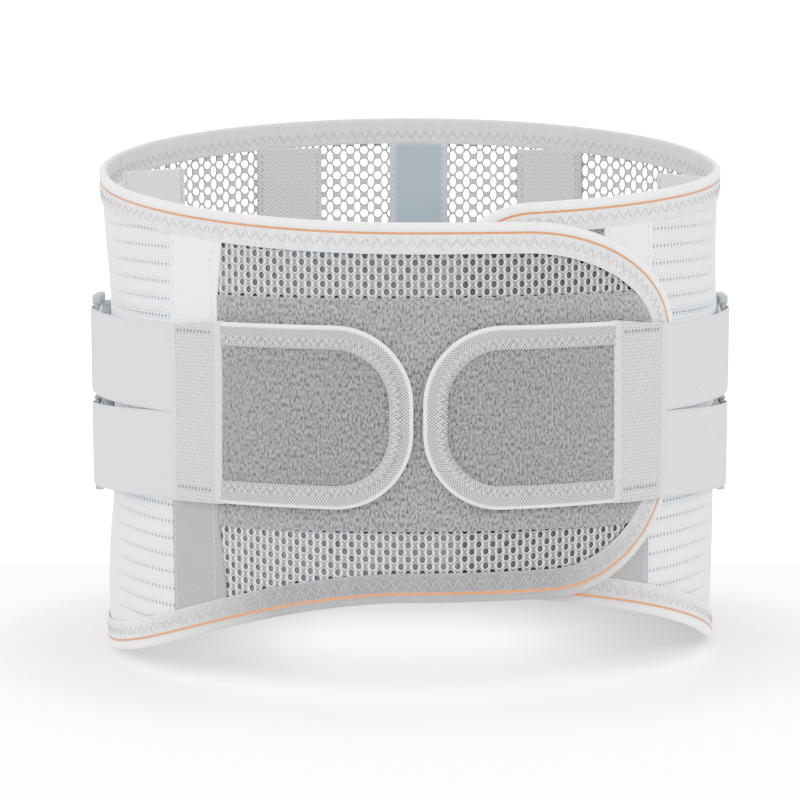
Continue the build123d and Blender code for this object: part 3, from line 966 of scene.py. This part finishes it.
for name, (e, side, near, far, (x0, x1)) in TABS.items():
    s0, s1 = s_at_x(e, x0), s_at_x(e, x1)
    tab_end = s1 if side < 0 else s0
    body = name + "_tab"

    def web_low(s):
        return 0.0938 - 0.0012 * np.abs(s - tab_end) / 0.03

    def web_high(s):
        return 0.1845 - 0.0032 * np.abs(s - tab_end) / 0.03

    def thickness(s, z):
        return 0.0018 + 0.0013 * np.clip(1.3 - np.abs(s - tab_end) / 0.024, 0, 1)

    def swell(s, z):
        return 0.00025 * np.sin((s - s0) / (s1 - s0) * np.pi) * np.cos(z * 160)

    made = panel(name + "_tab_web_cloth", e, s0, s1, web_low, web_high, -0.0007, thickness,
                 soft=0.0006, swell=swell, step=0.0025)
    web_twill = cloth(name + " web twill", (0.37, 0.374, 0.38), (1300, 1300, 0.0, 0.95),
                      relief=0.00016, extra=boxed(s0, s1))
    fasten(made, web_twill, "tab_web", body, [name + "_tab_web"], (s1 - s0, 0.090))
    lines = []
    for s in (s0 + 0.0040, s1 - 0.0044):
        lines += running(upright(s, 0.0985, 0.1795), 0, thickness(s, 0) + 0.0001, 0.0022, 0.0009)
    thread(name + "_tab_web_stitching", e, lines, 0.0002, pale_thread, body)
    rise = np.array([-0.0009, -0.0005, 0.0, 0.0005, 0.0009])
    proud = np.array([-0.0003, 0.0002, 0.0003, 0.0002, -0.0003])
    ticks = []
    for s in np.arange(s0 + 0.0060, s1 - 0.0055, 0.0021):
        for z in (0.1003, 0.1788):
            ticks.append(np.column_stack([s + rise * 0.3, z + rise, thickness(s, 0) + proud]))
    thread(name + "_tab_web_bar_ticks", e, ticks, 0.00032, grey_thread, body)

# Straps: smooth elastic webbing, two a side, sewn under the web at one end and turned round the
# front rod of a plastic loop at the other, where the end is sewn back on the inside.
def ribbon(name, plan, low, height, thick):
    """Webbing standing on edge along a plan line of (x, y), its lower edge given for each point."""
    plan = np.asarray(plan, float)
    way = np.gradient(plan, axis=0)
    way /= np.linalg.norm(way, axis=1)[:, None]
    out = np.stack([-way[:, 1], way[:, 0]], 1)
    half = [(0.36, 0.0), (0.5, 0.010), (0.5, 0.035), (0.56, 0.2), (0.58, 0.4), (0.58, 0.6), (0.56, 0.8),
            (0.5, 0.965), (0.5, 0.990), (0.36, 1.0)]
    section = np.array(half + [(-t, h) for t, h in half[::-1]])
    points = np.zeros((len(plan), len(section), 3))
    points[:, :, :2] = plan[:, None] + out[:, None] * section[None, :, :1] * thick
    points[:, :, 2] = np.asarray(low)[:, None] + section[None, :, 1] * height
    points[:, :, 1] += MIDDLE_Y
    uv = np.stack(np.broadcast_arrays(length_run(plan)[:, None], section[None, :, 1] * height), -1)
    faces = tube_faces(len(plan), len(section))
    return turned_out(cloth_object(name, points.reshape(-1, 3), faces, uv.reshape(-1, 2)))


def round_rod(side, y, way):
    """Half turn round a rod, from the outer side to the inner one; way is the side it passes."""
    bend = 0.0026
    return [(side * (ROD_X + bend * math.cos(a)), y + way * bend * math.sin(a))
            for a in np.linspace(0, np.pi, 13)]


def webbed(tree):
    """Fine ribs along the strap, closer at its edges."""
    along, up = cloth_xy(tree)
    rib = (along.wave(0.0009) * 0.4 + up.wave(0.0011)) * 0.35 + 0.5
    seam = abs(up - STRAP_TALL / 2).ramp(0.0205, 0.0212, 1.0, 0.86)
    return rib, (rib * 0.07 + 0.95) * seam


def webbing(name, colour, relief):
    return cloth(name, colour, (1300, 1300, 0.0, 0.95), relief=relief, extra=webbed)


ROD_X, FRONT_ROD_Y, REAR_ROD_Y, STRAP_TALL = 0.1665, -0.008, 0.010, 0.044
HEIGHTS = {"upper": (0.138, 0.1371), "lower": (0.087, 0.0929)}
strap_paint = webbing("strap webbing", (0.395, 0.402, 0.415), 0.00007)
for name, ((cx, a, b), side, *_) in TABS.items():
    strap_end = -0.099 if side < 0 else 0.106
    t_end = math.acos((strap_end - cx) / a)
    t_rod = math.asin(-FRONT_ROD_Y / b)
    t_rod = math.pi - t_rod if side < 0 else t_rod
    line = [(cx + a * math.cos(t), -b * math.sin(t)) for t in np.linspace(t_end, t_rod, 60)[:-1]]
    inner = np.linspace(0, 1, 9)[1:, None] * np.array([0.0026, -0.028])
    line += round_rod(side, FRONT_ROD_Y, 1) + [(side * (0.1639 - dx), FRONT_ROD_Y + dy) for dx, dy in inner]
    y = np.array(line)[:, 1]
    for level, (at_rod, at_web) in HEIGHTS.items():
        z = at_rod + (at_web - at_rod) * np.clip((FRONT_ROD_Y - y) / 0.080, 0, 1)
        made = ribbon(f"{name}_{level}_strap_webbing", line, z, STRAP_TALL, 0.0011)
        fasten(made, strap_paint, "strap_webbing", name + "_tab", [f"{name}_{level}_strap"],
               (0.165, STRAP_TALL))

# Back bands: two blue-grey bands sewn across the outside of the back, each turned round the rear
# rods of its two plastic loops.
band_paint = webbing("back band", (0.30, 0.335, 0.37), 0.00008)
half_line = [(0.1619, 0.019), (0.1629, 0.0145)] + round_rod(1, REAR_ROD_Y, -1)[::-1]
half_line += [(0.1676, 0.0165), (0.1648, 0.0235), (0.1612, 0.0300), (0.1575, 0.0365)]
round_back = [(0.1636 * math.cos(t), 0.1226 * math.sin(t)) for t in np.linspace(0.345, math.pi - 0.345, 90)]
line = half_line + round_back + [(-x, y) for x, y in half_line[::-1]]
for level, (foot, _) in HEIGHTS.items():
    made = ribbon(level + "_back_band_webbing", line, np.full(len(line), foot), STRAP_TALL, 0.0012)
    fasten(made, band_paint, "strap_webbing", "back", [level + "_back_band"], (0.50, STRAP_TALL))

# Care label: a small white satin tab sewn inside the back, near its lower rim. It carries no print,
# and lies against the mesh.
label = cloth("label satin", (0.72, 0.72, 0.73), (400, 2600, 0.0, 0.92), relief=0.00004, sheen=0.4)
s1, s0 = s_at_x(BODY, 0.030, back=True), s_at_x(BODY, 0.056, back=True)
made = panel("care_label_cloth", BODY, s0, s1, 0.030, 0.068, -0.0010, -0.0004, soft=0.0)
fasten(made, label, "label_cloth", "back", ["care_label"], (s1 - s0, 0.038))

# Stays and plastic loops: flat steel springs in the back, nylon blades in front, and four moulded
# nylon loops that couple the straps to the back bands.
def hard_finish(name, colour, metallic, rough, speck_size, relief):
    """Rolled or moulded surface with faint scuffs."""
    made, tree, shader = blank(name)
    scuffs = node(tree, "Group", {"Amount": 0.10, "Patch size": 90.0, "Speck size": speck_size},
                  node_tree=unevenness)
    feed(tree, shader, {
        "Base Color": mix(tree, 1.0, colour, scuffs["Shade"], "MULTIPLY"), "Metallic": metallic,
        "Roughness": scuffs["Height"].ramp(0.0, 1.0, rough - 0.08, rough + 0.12),
        "Normal": node(tree, "Bump", {"Distance": relief, "Height": scuffs["Height"]})[0]})
    return made


spring_steel = hard_finish("spring steel", (0.55, 0.56, 0.58), 1.0, 0.35, 3500.0, 0.00003)
blade_nylon = hard_finish("blade nylon", (0.70, 0.70, 0.68), 0.0, 0.45, 1800.0, 0.00003)
loop_nylon = hard_finish("loop nylon", (0.20, 0.205, 0.215), 0.0, 0.42, 1500.0, 0.00004)
for name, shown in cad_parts.items():
    if name.endswith("_stay"):
        for held in shown.material_slots:
            held.material = blade_nylon if "front" in name else spring_steel


def moulded_loop(name, side, low, high, low_bar, high_bar):
    """Two upright rods joined by two rounded end bars, one block with its edges eased."""
    def block(kind, place, scale=(1, 1, 1), **size):
        bpy.ops.object.select_all(action="DESELECT")
        getattr(bpy.ops.mesh, f"primitive_{kind}_add")(location=place, **size)
        made = bpy.context.object
        made.scale = scale
        bpy.ops.object.transform_apply(location=True, rotation=True, scale=True)
        return made

    x, mid = side * ROD_X, MIDDLE_Y + (FRONT_ROD_Y + REAR_ROD_Y) / 2
    bars = []
    for z, tall in ((low - low_bar / 2, low_bar), (high + high_bar / 2, high_bar)):
        bar = block("cube", (x, mid, z), (0.0048, 0.0222, tall), size=1)
        eased = bar.modifiers.new("eased", "BEVEL")
        eased.width, eased.segments, eased.limit_method = 0.0010, 3, "ANGLE"
        bpy.ops.object.modifier_apply(modifier="eased")
        bars.append(bar)
    middle, long = (low + high) / 2, high - low + 0.002
    rods = [block("cylinder", (x, y + MIDDLE_Y, middle), vertices=20, radius=0.0017, depth=long)
            for y in (REAR_ROD_Y, FRONT_ROD_Y)]
    bpy.ops.object.select_all(action="DESELECT")
    loop = bars[0]
    bpy.context.view_layer.objects.active = loop
    for other in rods + bars[1:]:
        union = loop.modifiers.new("union", "BOOLEAN")
        union.operation, union.solver, union.object = "UNION", "EXACT", other
        bpy.ops.object.modifier_apply(modifier="union")
        bpy.data.objects.remove(other)
    loop.name = name
    loop.data.name = name
    loop.select_set(True)
    bpy.ops.object.shade_smooth_by_angle(angle=math.radians(40))
    bpy.ops.object.select_all(action="DESELECT")
    return loop


for name, (_, side, *_) in TABS.items():
    for level, low_bar, high_bar in (("upper", 0.0022, 0.0052), ("lower", 0.0040, 0.0022)):
        foot = HEIGHTS[level][0]
        made = moulded_loop(f"{name}_{level}_loop", side, foot - 0.0005, foot + 0.0445, low_bar, high_bar)
        fasten(made, loop_nylon, "loop_plastic", name + "_loops", [f"{name}_{level}_plastic_loop"])
